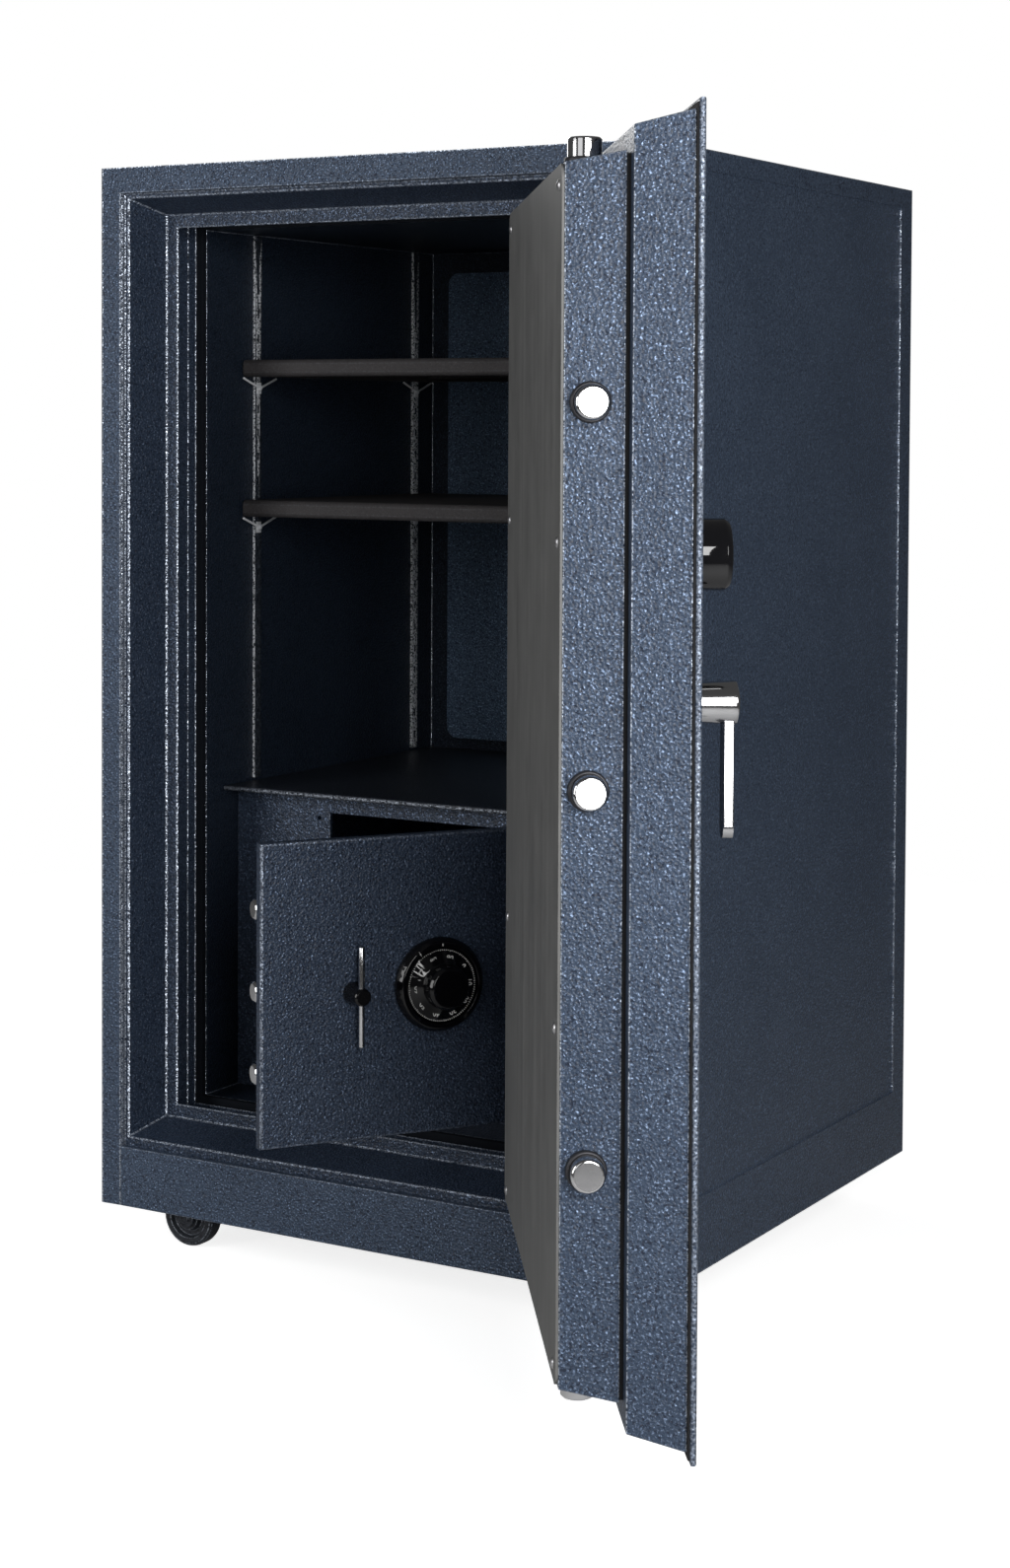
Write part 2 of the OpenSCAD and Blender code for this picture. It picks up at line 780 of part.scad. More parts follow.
// upper half of each outer hinge, with its leaf on the door plate
module door_hinge_leaves()
    color(paint)
        on_door()
            for (z = hinge_lows)
                difference() {
                    union() {
                        translate([hinge_x, hinge_y, z + hinge_l / 2 + 0.2]) {
                            cylinder(hinge_knuckle_l, hinge_r, hinge_r, $fn = 64);
                            translate([0, 0, hinge_knuckle_l]) cylinder(4, hinge_r, hinge_r - 4, $fn = 64);
                        }
                        block([hinge_x - 34, hinge_x], [-4, plate_y0],
                              [z + hinge_l / 2 + 0.2, z + hinge_l / 2 + 0.2 + hinge_knuckle_l]);
                    }
                    translate([hinge_x, hinge_y, z])
                        cylinder(hinge_l - 2, hinge_pin_r + pin_clearance, hinge_pin_r + pin_clearance,
                                 $fn = 64);
                }

/* Bolt work of the outer door */

// a bolt standing on the XY plane with a chamfered tip at the top
module bolt_shape(length, r, chamfer = 1.5)
    rotate_extrude($fn = 64)
        polygon([[0, 0], [r, 0], [r, length - chamfer], [r - chamfer, length], [0, length]]);

module side_bolts()
    color(chrome)
        on_door()
            for (z = side_bolt_zs)
                translate([side_bolt_x1, bolt_y, z]) rotate([0, -90, 0])
                    bolt_shape(side_bolt_x1 - side_bolt_x0, bolt_r);

// a straight square-ended slot between two (x, z) points, cut through the bar
module slot(x0, z0, x1, z1, r)
    through(bolt_y - bar_t, bolt_y + bar_t)
        translate([x0, z0]) rotate(atan2(z1 - z0, x1 - x0)) translate([-r, -r])
            square([norm([x1 - x0, z1 - z0]) + 2 * r, 2 * r]);

// the pin on the handle's cam is off its axis by this much both ways, so a quarter turn gives the full stroke
cam_off = bolt_stroke / 2;
slot_play = 0.7;
module bolt_bar()
    color(steel)
        on_door()
            difference() {
                union() {
                    block([side_bolt_x1, bar_x1], [bolt_y - bar_t / 2, bolt_y + bar_t / 2],
                          [side_bolt_zs[0] - 14, side_bolt_zs[2] + 14]);
                    block([bar_x1 - cut, handle_x + 2], [bolt_y - bar_t / 2, bolt_y + bar_t / 2],
                          [handle_z - 2, handle_z + 22]);
                }
                block([handle_x - cam_off - drive_pin_r - slot_play,
                       handle_x - cam_off + drive_pin_r + slot_play],
                      [bolt_y - bar_t, bolt_y + bar_t], [handle_z + 3.8, handle_z + 15.6]);
                slot(rod_x, upper_slot_z, rod_x - bolt_stroke, upper_slot_z - bolt_stroke, rod_pin_r + 0.5);
                slot(rod_x, lower_slot_z, rod_x - bolt_stroke, lower_slot_z + bolt_stroke, rod_pin_r + 0.5);
            }

// flat rod from z0 to z1 with a pin that reaches forward into the bar's slot
module drive_rod(z0, z1, pin_z)
    union() {
        block([rod_x - rod_w / 2, rod_x + rod_w / 2], [rod_y0, rod_y0 + rod_t], [z0, z1]);
        round_through(rod_x, pin_z, rod_pin_r, bolt_y - bar_t / 2, rod_y0 + 1, 32);
    }

module top_bolt()
    color(chrome)
        on_door()
            union() {
                translate([rod_x, bolt_y, top_bolt_z1 - bolt_shank_l]) bolt_shape(bolt_shank_l, bolt_r);
                drive_rod(upper_slot_z - 20, top_bolt_z1 - bolt_shank_l + cut, upper_slot_z);
            }

module bottom_bolt()
    color(chrome)
        on_door()
            union() {
                translate([rod_x, bolt_y, bottom_bolt_z0 + bolt_shank_l]) mirror([0, 0, 1])
                    bolt_shape(bolt_shank_l, bolt_r);
                drive_rod(bottom_bolt_z0 + bolt_shank_l - cut, lower_slot_z + 20, lower_slot_z);
            }

/* Dial and lever of the outer door */

// dial with its spindle, standing on the door's face at the XY plane and reaching down by tail_l;
// the numbers' band slopes from the disc's rim in to the knob
band_rise = 5;
knob_chamfer = 4;
module dial_shape(tail_l, disc_t, slope, knob_r, knob_l)
    rotate_extrude($fn = 96)
        polygon([[0, -tail_l], [dial_spindle_r, -tail_l], [dial_spindle_r, dial_disc_y],
                 [dial_disc_r, dial_disc_y], [dial_disc_r, dial_disc_y + disc_t],
                 [dial_disc_r - slope, dial_disc_y + disc_t + band_rise],
                 [knob_r, dial_disc_y + disc_t + band_rise + 1],
                 [knob_r, knob_l - knob_chamfer], [knob_r - knob_chamfer * 0.7, knob_l], [0, knob_l]]);

dial_disc_t = 6;
dial_band_w = 5;
module dial()
    color(black)
        on_door()
            translate([dial_x, plate_y0, dial_z]) rotate([90, 0, 0])
                dial_shape(box_y0 + box_t + lock_bore_l - spindle_end_gap - plate_y0, dial_disc_t,
                           dial_band_w, dial_knob_r, dial_knob_l);

hub_r = 17;
hub_base_r = 15;
hub_foot = 4.5;
spindle_l = 34;
lever_t = 8;
lever_y = plate_y0 - hub_l + 4.6;
lever_seat_z = [handle_z - 20, handle_z - 8];
module handle_hub()
    color(chrome)
        on_door()
            difference() {
                translate([handle_x, plate_y0, handle_z]) rotate([90, 0, 0])
                    rotate_extrude($fn = 96)
                        polygon([[spindle_r + pin_clearance, hub_foot], [hub_base_r, hub_foot],
                                 [hub_r, hub_l - 4.6], [hub_r - 0.4, hub_l - 2.1], [hub_r - 5, hub_l - 0.6],
                                 [0, hub_l], [0, spindle_l], [spindle_r + pin_clearance, spindle_l]]);
                block([handle_x - lever_w / 2, handle_x + lever_w / 2], [lever_y, lever_y + lever_t],
                      lever_seat_z);
            }

module handle_lever()
    color(chrome)
        on_door()
            through(lever_y, lever_y + lever_t)
                union() {
                    translate([handle_x - lever_w / 2, handle_z - lever_l + lever_w / 2])
                        square([lever_w, lever_l - lever_w / 2 - handle_z + lever_seat_z[1]]);
                    translate([handle_x, handle_z - lever_l + lever_w / 2]) circle(lever_w / 2, $fn = 64);
                }

// spindle of a handle with its cam disc; the disc lies in front of the bar
cam_t = 6;
cam_gap = 4;
handle_cam_r = 22;
module handle_cam()
    color(steel)
        on_door()
            union() {
                round_through(handle_x, handle_z, spindle_r, plate_y0 - spindle_l + 1,
                              bolt_y - bar_t / 2 - cam_gap - 1, 64);
                round_through(handle_x, handle_z, handle_cam_r, bolt_y - bar_t / 2 - cam_gap - cam_t,
                              bolt_y - bar_t / 2 - cam_gap, 64);
                round_through(handle_x - cam_off, handle_z + cam_off, drive_pin_r, bolt_y - bar_t / 2 - 5,
                              bolt_y + bar_t / 2 + cut, 32);
            }

/* Chest door pieces */

chest_plate_chamfer = 1.5;
chest_mid_knuckle_l = chest_hinge_l - 2 * chest_knuckle_l - 2 * gap;
module chest_door()
    color(paint)
        on_chest_door()
            difference() {
                union() {
                    intersection() {
                        linear_extrude(body_h)
                            polygon([[chest_plate_x[0] + chest_plate_chamfer, chest_door_y0],
                                     [chest_plate_x[1] - chest_plate_chamfer, chest_door_y0],
                                     [chest_plate_x[1], chest_door_y0 + chest_plate_chamfer],
                                     [chest_plate_x[1], chest_door_y1],
                                     [chest_plate_x[0], chest_door_y1],
                                     [chest_plate_x[0], chest_door_y0 + chest_plate_chamfer]]);
                        across(chest_plate_x[0], chest_plate_x[1])
                            polygon([[chest_door_y0, chest_plate_z[0] + chest_plate_chamfer],
                                     [chest_door_y0 + chest_plate_chamfer, chest_plate_z[0]],
                                     [chest_door_y1, chest_plate_z[0]],
                                     [chest_door_y1, chest_plate_z[1]],
                                     [chest_door_y0 + chest_plate_chamfer, chest_plate_z[1]],
                                     [chest_door_y0, chest_plate_z[1] - chest_plate_chamfer]]);
                    }
                    for (z = chest_hinge_zs)
                        translate([0, 0, z - chest_hinge_l / 2 + chest_knuckle_l + gap]) {
                            translate([chest_hinge[0], chest_hinge[1], 0])
                                cylinder(chest_mid_knuckle_l, chest_hinge_r, chest_hinge_r, $fn = 48);
                            block([chest_hinge[0] - 44, chest_hinge[0]],
                                  [chest_door_y0 - 3, chest_door_y0 + 1], [0, chest_mid_knuckle_l]);
                        }
                }
                for (z = chest_hinge_zs)
                    translate([chest_hinge[0], chest_hinge[1], z - chest_hinge_l / 2])
                        cylinder(chest_hinge_l, chest_pin_r + pin_clearance, chest_pin_r + pin_clearance,
                                 $fn = 48);
                round_through(chest_axis[0], chest_axis[1], chest_spindle_r + 0.8, chest_door_y0 - cut,
                              chest_door_y1 + cut, 48);
                round_through(chest_dial_axis[0], chest_dial_axis[1], dial_spindle_r + 1, chest_door_y0 - cut,
                              chest_door_y1 + cut, 48);
            }

module chest_dial_ring()
    color(black)
        on_chest_door()
            translate([chest_dial_axis[0], chest_door_y0, chest_dial_axis[1]]) rotate([90, 0, 0])
                ring_shape(dial_spindle_r + 0.6);

module chest_lock_body()
    color(steel)
        on_chest_door()
            difference() {
                translate([chest_dial_axis[0] - chest_lock_size[0] / 2, chest_door_y1,
                           chest_dial_axis[1] - chest_lock_size[2] / 2])
                    cube(chest_lock_size);
                round_through(chest_dial_axis[0], chest_dial_axis[1], dial_spindle_r + 0.5,
                              chest_door_y1 - cut, chest_door_y1 + chest_lock_bore_l, 48);
            }

chest_guide_w = 16;
chest_guide_x = chest_bolt_x[0] + chest_stroke;
module chest_bolt_guide()
    color(steel)
        on_chest_door()
            difference() {
                block([chest_guide_x, chest_guide_x + chest_guide_w],
                      [chest_door_y1, chest_bolt_y + chest_bolt_r + 2.4],
                      [chest_bolt_zs[0] - 16, chest_bolt_zs[2] + 16]);
                for (z = chest_bolt_zs)
                    round_across(chest_bolt_x[0], chest_bolt_x[1], chest_bolt_y, z,
                                 chest_bolt_r + pin_clearance);
            }

module chest_bolts()
    color(chrome)
        on_chest_door()
            for (z = chest_bolt_zs)
                translate([chest_bolt_x[1], chest_bolt_y, z]) rotate([0, -90, 0])
                    bolt_shape(chest_bolt_x[1] - chest_bolt_x[0], chest_bolt_r, 2);

chest_cam_off = chest_stroke / 2;
chest_bar_x = [chest_bolt_x[1], chest_bolt_x[1] + 20];
chest_bar_y = [chest_bolt_y - 3, chest_bolt_y + 3];
chest_slot_play = 0.8;
cam_clear = 1;
module chest_bolt_bar()
    color(steel)
        on_chest_door()
            difference() {
                union() {
                    block(chest_bar_x, chest_bar_y, [chest_bolt_zs[0] - 10, chest_bolt_zs[2] + 10]);
                    block([chest_bar_x[1] - cut, chest_axis[0] - cam_clear], chest_bar_y,
                          [chest_axis[1] - 1, chest_axis[1] + 26]);
                }
                block([chest_axis[0] - chest_cam_off - drive_pin_r - chest_slot_play,
                       chest_axis[0] - chest_cam_off + drive_pin_r + chest_slot_play],
                      [chest_bar_y[0] - cut, chest_bar_y[1] + cut],
                      [chest_axis[1] + 6.2, chest_axis[1] + 20]);
            }

// cone-shaped shank of the chest handle, cross-drilled for the bar
chest_spindle_r = 5;
chest_socket_l = 14;
chest_bar_r = 3;
chest_bar_axis_y = chest_door_y0 - chest_handle_l + 5.5;
module chest_handle_shank()
    color(black)
        on_chest_door()
            difference() {
                translate([chest_axis[0], chest_door_y0 - gap, chest_axis[1]]) rotate([90, 0, 0])
                    rotate_extrude($fn = 64)
                        polygon([[chest_spindle_r + pin_clearance, 0], [11, 0], [11, 3],
                                 [8.2, chest_handle_l - gap - 2], [6.5, chest_handle_l - gap],
                                 [0, chest_handle_l - gap], [0, chest_socket_l],
                                 [chest_spindle_r + pin_clearance, chest_socket_l]]);
                translate([chest_axis[0], chest_bar_axis_y, chest_axis[1] - 30])
                    cylinder(60, chest_bar_r + pin_clearance, chest_bar_r + pin_clearance, $fn = 48);
            }

module chest_handle_bar()
    color(chrome)
        on_chest_door()
            translate([chest_axis[0], chest_bar_axis_y, chest_axis[1] - chest_bar_l / 2])
                rotate_extrude($fn = 48)
                    polygon([[0, 0], [chest_bar_r - 1, 0], [chest_bar_r, 1], [chest_bar_r, chest_bar_l - 1],
                             [chest_bar_r - 1, chest_bar_l], [0, chest_bar_l]]);

module chest_cam()
    color(steel)
        on_chest_door()
            union() {
                round_through(chest_axis[0], chest_axis[1], chest_spindle_r,
                              chest_door_y0 - gap - chest_socket_l + 1, chest_bar_y[0] - 5, 48);
                round_through(chest_axis[0], chest_axis[1], chest_cam_r, chest_bar_y[0] - cam_gap - cam_t,
                              chest_bar_y[0] - cam_gap, 64);
                round_through(chest_axis[0] - chest_cam_off, chest_axis[1] + chest_cam_off, drive_pin_r,
                              chest_bar_y[0] - 5, chest_bar_y[1] + cut, 32);
            }

chest_disc_t = 4;
chest_band_w = 13;
module chest_dial()
    color(black)
        on_chest_door()
            translate([chest_dial_axis[0], chest_door_y0, chest_dial_axis[1]]) rotate([90, 0, 0])
                dial_shape(chest_door_t + chest_lock_bore_l - spindle_end_gap, chest_disc_t,
                           chest_band_w, chest_knob_r, chest_knob_l);

/* Casters */

// turns a caster's pieces about its pivot; each one trails a different way
module on_caster(x, y, turn)
    placed() translate([x, y, 0]) rotate([0, 0, turn]) children();

// swivel fork with its axle, trailing towards +X
fork_gap = 0.8;
fork_inner = wheel_w / 2 + fork_gap;
fork_top = race_z - 0.5;
crown_t = 4.5;
module fork()
    union() {
        translate([0, 0, fork_top - crown_t]) cylinder(crown_t, 20, 20, $fn = 64);
        translate([0, 0, fork_top - cut]) cylinder(race_h + 2, 5.5, 5.5, $fn = 48);
        for (side = [-1, 1])
            translate([0, side * (fork_inner + fork_t / 2), 0])
                through(-fork_t / 2, fork_t / 2)
                    union() {
                        polygon([[-12, fork_top - crown_t / 2], [12, fork_top - crown_t / 2],
                                 [caster_trail + 10, axle_z], [caster_trail - 10, axle_z]]);
                        translate([caster_trail, axle_z]) circle(10, $fn = 48);
                    }
        round_through(caster_trail, axle_z, axle_r, -fork_inner - fork_t - 2, fork_inner + fork_t + 2, 48);
    }

// solid wheel with rounded rim and a ring-shaped recess in both faces
wheel_boss_r = 13;
wheel_rim_r = wheel_r - 9;
module wheel()
    translate([caster_trail, 0, axle_z]) rotate([90, 0, 0])
        rotate_extrude($fn = 96)
            polygon([[axle_r + pin_clearance, -wheel_w / 2], [wheel_boss_r, -wheel_w / 2],
                     [wheel_boss_r + 2, 6 - wheel_w / 2], [wheel_rim_r - 2, 6 - wheel_w / 2],
                     [wheel_rim_r, 1 - wheel_w / 2], [wheel_r - 3, 1 - wheel_w / 2],
                     [wheel_r - 0.8, 3 - wheel_w / 2], [wheel_r, 6 - wheel_w / 2],
                     [wheel_r, wheel_w / 2 - 6], [wheel_r - 0.8, wheel_w / 2 - 3],
                     [wheel_r - 3, wheel_w / 2 - 1], [wheel_rim_r, wheel_w / 2 - 1],
                     [wheel_rim_r - 2, wheel_w / 2 - 6], [wheel_boss_r + 2, wheel_w / 2 - 6],
                     [wheel_boss_r, wheel_w / 2], [axle_r + pin_clearance, wheel_w / 2]]);

turn_fl = 180;
turn_fr = 150;
turn_rl = 20;
turn_rr = 200;

module fork_front_left() color(dark_paint) on_caster(-caster_x, caster_ys[0], turn_fl) fork();
module fork_front_right() color(dark_paint) on_caster(caster_x, caster_ys[0], turn_fr) fork();
module fork_rear_left() color(dark_paint) on_caster(-caster_x, caster_ys[1], turn_rl) fork();
module fork_rear_right() color(dark_paint) on_caster(caster_x, caster_ys[1], turn_rr) fork();
module wheel_front_left() color(dark_paint) on_caster(-caster_x, caster_ys[0], turn_fl) wheel();
module wheel_front_right() color(dark_paint) on_caster(caster_x, caster_ys[0], turn_fr) wheel();
module wheel_rear_left() color(dark_paint) on_caster(-caster_x, caster_ys[1], turn_rl) wheel();
module wheel_rear_right() color(dark_paint) on_caster(caster_x, caster_ys[1], turn_rr) wheel();

outer_shell();
base_plate();
front_skirt();
door_frame();
bolt_channel();
thermal_break();
body_fill();
inner_liner();
back_panel();
shelf_standards();
shelf_clips();
upper_shelf();
lower_shelf();
chest_top_plate();
chest_body();
chest_front();
hinge_leaves();
hinge_pins();
caster_plates();
caster_bolts();
door_plate();
door_seal();
door_plug();
door_fill();
door_break();
bolt_box();
bolt_bushings();
inner_panel();
panel_screws();
lock_body();
dial_ring();
handle_escutcheon();
door_hinge_leaves();
side_bolts();
bolt_bar();
top_bolt();
bottom_bolt();
dial();
handle_hub();
handle_lever();
handle_cam();
chest_door();
chest_dial_ring();
chest_lock_body();
chest_bolt_guide();
chest_bolts();
chest_bolt_bar();
chest_handle_shank();
chest_handle_bar();
chest_cam();
chest_dial();
fork_front_left();
fork_front_right();
fork_rear_left();
fork_rear_right();
wheel_front_left();
wheel_front_right();
wheel_rear_left();
wheel_rear_right();
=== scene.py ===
import json
from math import cos, pi, radians, sin

import bmesh
import bpy
from mathutils import Matrix, Vector


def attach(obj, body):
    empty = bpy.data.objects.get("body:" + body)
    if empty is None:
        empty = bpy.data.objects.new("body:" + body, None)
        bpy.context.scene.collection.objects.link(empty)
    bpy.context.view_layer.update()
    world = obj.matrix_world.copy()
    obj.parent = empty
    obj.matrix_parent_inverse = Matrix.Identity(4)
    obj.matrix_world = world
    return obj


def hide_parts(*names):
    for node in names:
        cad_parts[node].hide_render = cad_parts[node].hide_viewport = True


# A fireproof safe on casters with its door and inner chest open. Metres, +Z up, doorway towards -Y.
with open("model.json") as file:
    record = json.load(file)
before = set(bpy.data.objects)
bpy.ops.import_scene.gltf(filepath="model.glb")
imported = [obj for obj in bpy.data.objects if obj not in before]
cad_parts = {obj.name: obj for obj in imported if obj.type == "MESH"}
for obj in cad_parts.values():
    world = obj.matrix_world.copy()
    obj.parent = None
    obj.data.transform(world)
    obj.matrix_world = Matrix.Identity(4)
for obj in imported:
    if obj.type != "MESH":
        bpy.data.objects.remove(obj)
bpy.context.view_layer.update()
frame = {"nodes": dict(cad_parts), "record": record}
nodes = frame["nodes"]

# The drawings of the pieces are in millimetres, measured in from the front face with both doors shut.
frontY = -0.311
frontFace = Matrix.Translation((0, frontY, 0)) @ Matrix.Scale(0.001, 4)


def swungOpen(x, y, angle):
    hinge = Matrix.Translation((x, y, 0))
    return frontFace @ hinge @ Matrix.Rotation(radians(angle), 4, "Z") @ hinge.inverted()


# the hinges' lines, and how far each door stands open in degrees
onDoor = swungOpen(x=290.5, y=-9, angle=124.5)
onChestDoor = swungOpen(x=190, y=143, angle=55)


# Shader helpers
def addNode(tree, kind, **values):
    made = tree.nodes.new("ShaderNode" + kind)
    for key, value in values.items():
        setattr(made, key, value)
    return made


def feed(tree, value, socket):
    # a number, a colour or another node's output goes into a socket
    if isinstance(value, (int, float)):
        socket.default_value = value
    elif isinstance(value, tuple):
        socket.default_value = (*value, 1) if socket.type == "RGBA" else value
    else:
        tree.links.new(value, socket)


def mathNode(tree, operation, first, second):
    made = addNode(tree, "Math", operation=operation)
    feed(tree, first, made.inputs[0])
    feed(tree, second, made.inputs[1])
    return made.outputs[0]


def noiseNode(tree, vector, scale, detail, roughness=0.5):
    made = addNode(tree, "TexNoise")
    made.inputs["Scale"].default_value = scale
    made.inputs["Detail"].default_value = detail
    made.inputs["Roughness"].default_value = roughness
    tree.links.new(vector, made.inputs["Vector"])
    return made.outputs["Fac"]


def rampNode(tree, value, low, high):
    made = addNode(tree, "MapRange", clamp=True)
    feed(tree, value, made.inputs["Value"])
    made.inputs["From Min"].default_value = low
    made.inputs["From Max"].default_value = high
    return made.outputs["Result"]


def mixColours(tree, amount, first, second):
    made = addNode(tree, "Mix", data_type="RGBA")
    feed(tree, amount, made.inputs["Factor"])
    feed(tree, first, made.inputs[6])
    feed(tree, second, made.inputs[7])
    return made.outputs[2]


def newGroup(name, inputs, outputs):
    tree = bpy.data.node_groups.new(name, "ShaderNodeTree")
    for label, kind in inputs.items():
        tree.interface.new_socket(label, in_out="INPUT", socket_type="NodeSocket" + kind)
    for label, kind in outputs.items():
        tree.interface.new_socket(label, in_out="OUTPUT", socket_type="NodeSocket" + kind)
    return tree, tree.nodes.new("NodeGroupInput").outputs, tree.nodes.new("NodeGroupOutput").inputs


# Hammered enamel: rounded dimples, dark pits, bright flecks, a slow drift in tone, a painted edge
# highlight
# the bright flecks are partly metal flake in the paint and partly painted glints
hammerLook = {
    "dimpleScale": 400, "dimpleMelt": 0.4, "grainScale": 540, "pitScale": 400, "driftScale": 9,
    "pitRange": (0.55, 0.63), "fleckRange": (0.57, 0.65),
    "driftRange": (0.3, 0.7), "highlightRange": (0.4, 0.54),
    "grainRoughness": 0.15, "edgeGloss": 0.15, "grainHeight": 0.8,
}


def makeHammerGroup():
    colours = dict.fromkeys(("Base", "Dark", "Fleck", "Pit", "Edge Highlight"), "Color")
    amounts = dict.fromkeys(("Fleck Amount", "Pit Amount", "Roughness", "Edge", "Metal"), "Float")
    tree, given, result = newGroup(
        "hammeredEnamel",
        {"Vector": "Vector", **colours, **amounts},
        {"Color": "Color", "Roughness": "Float", "Metallic": "Float", "Height": "Float"})
    place = given["Vector"]
    dimples = addNode(tree, "TexVoronoi", feature="SMOOTH_F1")
    dimples.inputs["Scale"].default_value = hammerLook["dimpleScale"]
    dimples.inputs["Smoothness"].default_value = hammerLook["dimpleMelt"]
    tree.links.new(place, dimples.inputs["Vector"])
    grain = noiseNode(tree, place, hammerLook["grainScale"], 2)
    pitMask = rampNode(tree, noiseNode(tree, place, hammerLook["pitScale"], 1), *hammerLook["pitRange"])
    fleckMask = rampNode(tree, grain, *hammerLook["fleckRange"])
    drift = rampNode(tree, noiseNode(tree, place, hammerLook["driftScale"], 3), *hammerLook["driftRange"])
    tone = mixColours(tree, drift, given["Dark"], given["Base"])
    pits = mathNode(tree, "MULTIPLY", pitMask, given["Pit Amount"])
    pitted = mixColours(tree, pits, tone, given["Pit"])
    flecks = mathNode(tree, "MULTIPLY", fleckMask, given["Fleck Amount"])
    flecked = mixColours(tree, flecks, pitted, given["Fleck"])
    # painted highlight along the rounded edges, in a light tone, mottled by the grain
    beads = mathNode(tree, "MULTIPLY", given["Edge"], rampNode(tree, grain, *hammerLook["highlightRange"]))
    tree.links.new(mixColours(tree, beads, flecked, given["Edge Highlight"]), result["Color"])
    grainRough = mathNode(tree, "MULTIPLY", grain, hammerLook["grainRoughness"])
    rough = mathNode(tree, "ADD", given["Roughness"], grainRough)
    edgeGloss = mathNode(tree, "MULTIPLY", given["Edge"], hammerLook["edgeGloss"])
    tree.links.new(mathNode(tree, "SUBTRACT", rough, edgeGloss), result["Roughness"])
    # metal flakes in the paint
    flakes = mathNode(tree, "MULTIPLY", mathNode(tree, "MAXIMUM", beads, flecks), given["Metal"])
    tree.links.new(flakes, result["Metallic"])
    grainHeight = mathNode(tree, "MULTIPLY", grain, hammerLook["grainHeight"])
    tree.links.new(mathNode(tree, "ADD", dimples.outputs["Distance"], grainHeight), result["Height"])
    return tree


# Rolled, brushed or plated metal and plain moulded stuff: streaks along one way over broad blotches
streakLook = {
    "detail": 4, "noiseRoughness": 0.6, "blotchScale": 22, "streakRange": (0.3, 0.7), "streakShare": 0.65,
    "blotchRange": (0.35, 0.75), "blotchShare": 0.35,
}


def makeStreakGroup():
    tree, given, result = newGroup(
        "streaksAndBlotches",
        {"Vector": "Vector", "Base": "Color", "Worn": "Color", "Stretch": "Vector", "Wear": "Float",
         "Roughness": "Float", "Spread": "Float"},
        {"Color": "Color", "Roughness": "Float", "Height": "Float"})
    stretched = addNode(tree, "VectorMath", operation="MULTIPLY")
    tree.links.new(given["Vector"], stretched.inputs[0])
    tree.links.new(given["Stretch"], stretched.inputs[1])
    detail, noiseRoughness = streakLook["detail"], streakLook["noiseRoughness"]
    streaks = noiseNode(tree, stretched.outputs[0], 1, detail, noiseRoughness)
    blotches = noiseNode(tree, given["Vector"], streakLook["blotchScale"], detail, noiseRoughness)
    streakMask = rampNode(tree, streaks, *streakLook["streakRange"])
    blotchMask = rampNode(tree, blotches, *streakLook["blotchRange"])
    mask = mathNode(tree, "ADD", mathNode(tree, "MULTIPLY", streakMask, streakLook["streakShare"]),
                    mathNode(tree, "MULTIPLY", blotchMask, streakLook["blotchShare"]))
    tone = mixColours(tree, mathNode(tree, "MULTIPLY", mask, given["Wear"]), given["Base"], given["Worn"])
    tree.links.new(tone, result["Color"])
    rough = mathNode(tree, "ADD", given["Roughness"], mathNode(tree, "MULTIPLY", mask, given["Spread"]))
    tree.links.new(rough, result["Roughness"])
    tree.links.new(streaks, result["Height"])
    return tree


hammerGroup = makeHammerGroup()
streakGroup = makeStreakGroup()


def newFinish(name, group, look):
    # values named like the group's sockets go there, the rest are the shader's own
    finish = bpy.data.materials.new(name)
    finish.use_nodes = True
    tree = finish.node_tree
    shader = next(n for n in tree.nodes if n.type == "BSDF_PRINCIPLED")
    made = addNode(tree, "Group", node_tree=group)
    tree.links.new(addNode(tree, "TexCoord").outputs["Object"], made.inputs["Vector"])
    for label, value in look["pattern"].items():
        feed(tree, value, made.inputs[label])
    for label, value in look["shader"].items():
        shader.inputs[label].default_value = value
    for label, socket in (("Color", "Base Color"), ("Roughness", "Roughness"), ("Metallic", "Metallic")):
        if label in made.outputs:
            tree.links.new(made.outputs[label], shader.inputs[socket])
    bump = addNode(tree, "Bump")
    bump.inputs["Distance"].default_value = look["bump"]
    tree.links.new(made.outputs["Height"], bump.inputs["Height"])
    tree.links.new(bump.outputs["Normal"], shader.inputs["Normal"])
    return finish, tree, made


# The tones of an enamel beside its plain colour: shares of it, and what the flecks have on top of theirs,
# a painted glint
enamelTones = {
    "dark": (0.8, 0.82, 0.84), "pit": (0.25, 0.25, 0.3),
    "fleck": (3, 3, 3), "fleckGlint": (0.08, 0.09, 0.105),
}


def shareOf(tone, shares, glow=(0, 0, 0)):
    return tuple(more + part * share for part, share, more in zip(tone, shares, glow))


def enamel(name, tone, **changes):
    # tone is the paint's plain colour; the darker drift, the flecks and the pits follow from it
    look = {
        "pattern": {
            "Base": tone,
            "Dark": shareOf(tone, enamelTones["dark"]),
            "Fleck": shareOf(tone, enamelTones["fleck"], enamelTones["fleckGlint"]),
            "Pit": shareOf(tone, enamelTones["pit"]),
            # the light tone of the painted highlight along the rounded edges
            "Edge Highlight": changes.get("beadTone", (0.58, 0.64, 0.74)),
            "Fleck Amount": changes.get("flecks", 0.7),
            "Pit Amount": changes.get("pits", 0.8),
            "Roughness": changes.get("roughness", 0.3),
            "Metal": changes.get("metal", 1.0),
        },
        "shader": {"Specular IOR Level": changes.get("shine", 0.3)},
        "bump": changes.get("bump", 0.0007),
    }
    finish, tree, made = newFinish(name, hammerGroup, look)
    # the painted edge highlight, stronger on upright edges, is read from a mark on the mesh
    edge = addNode(tree, "Attribute", attribute_name="paintedEdgeHighlight")
    beads = mathNode(tree, "MULTIPLY", edge.outputs["Fac"], changes.get("beads", 0.6))
    tree.links.new(beads, made.inputs["Edge"])
    return finish


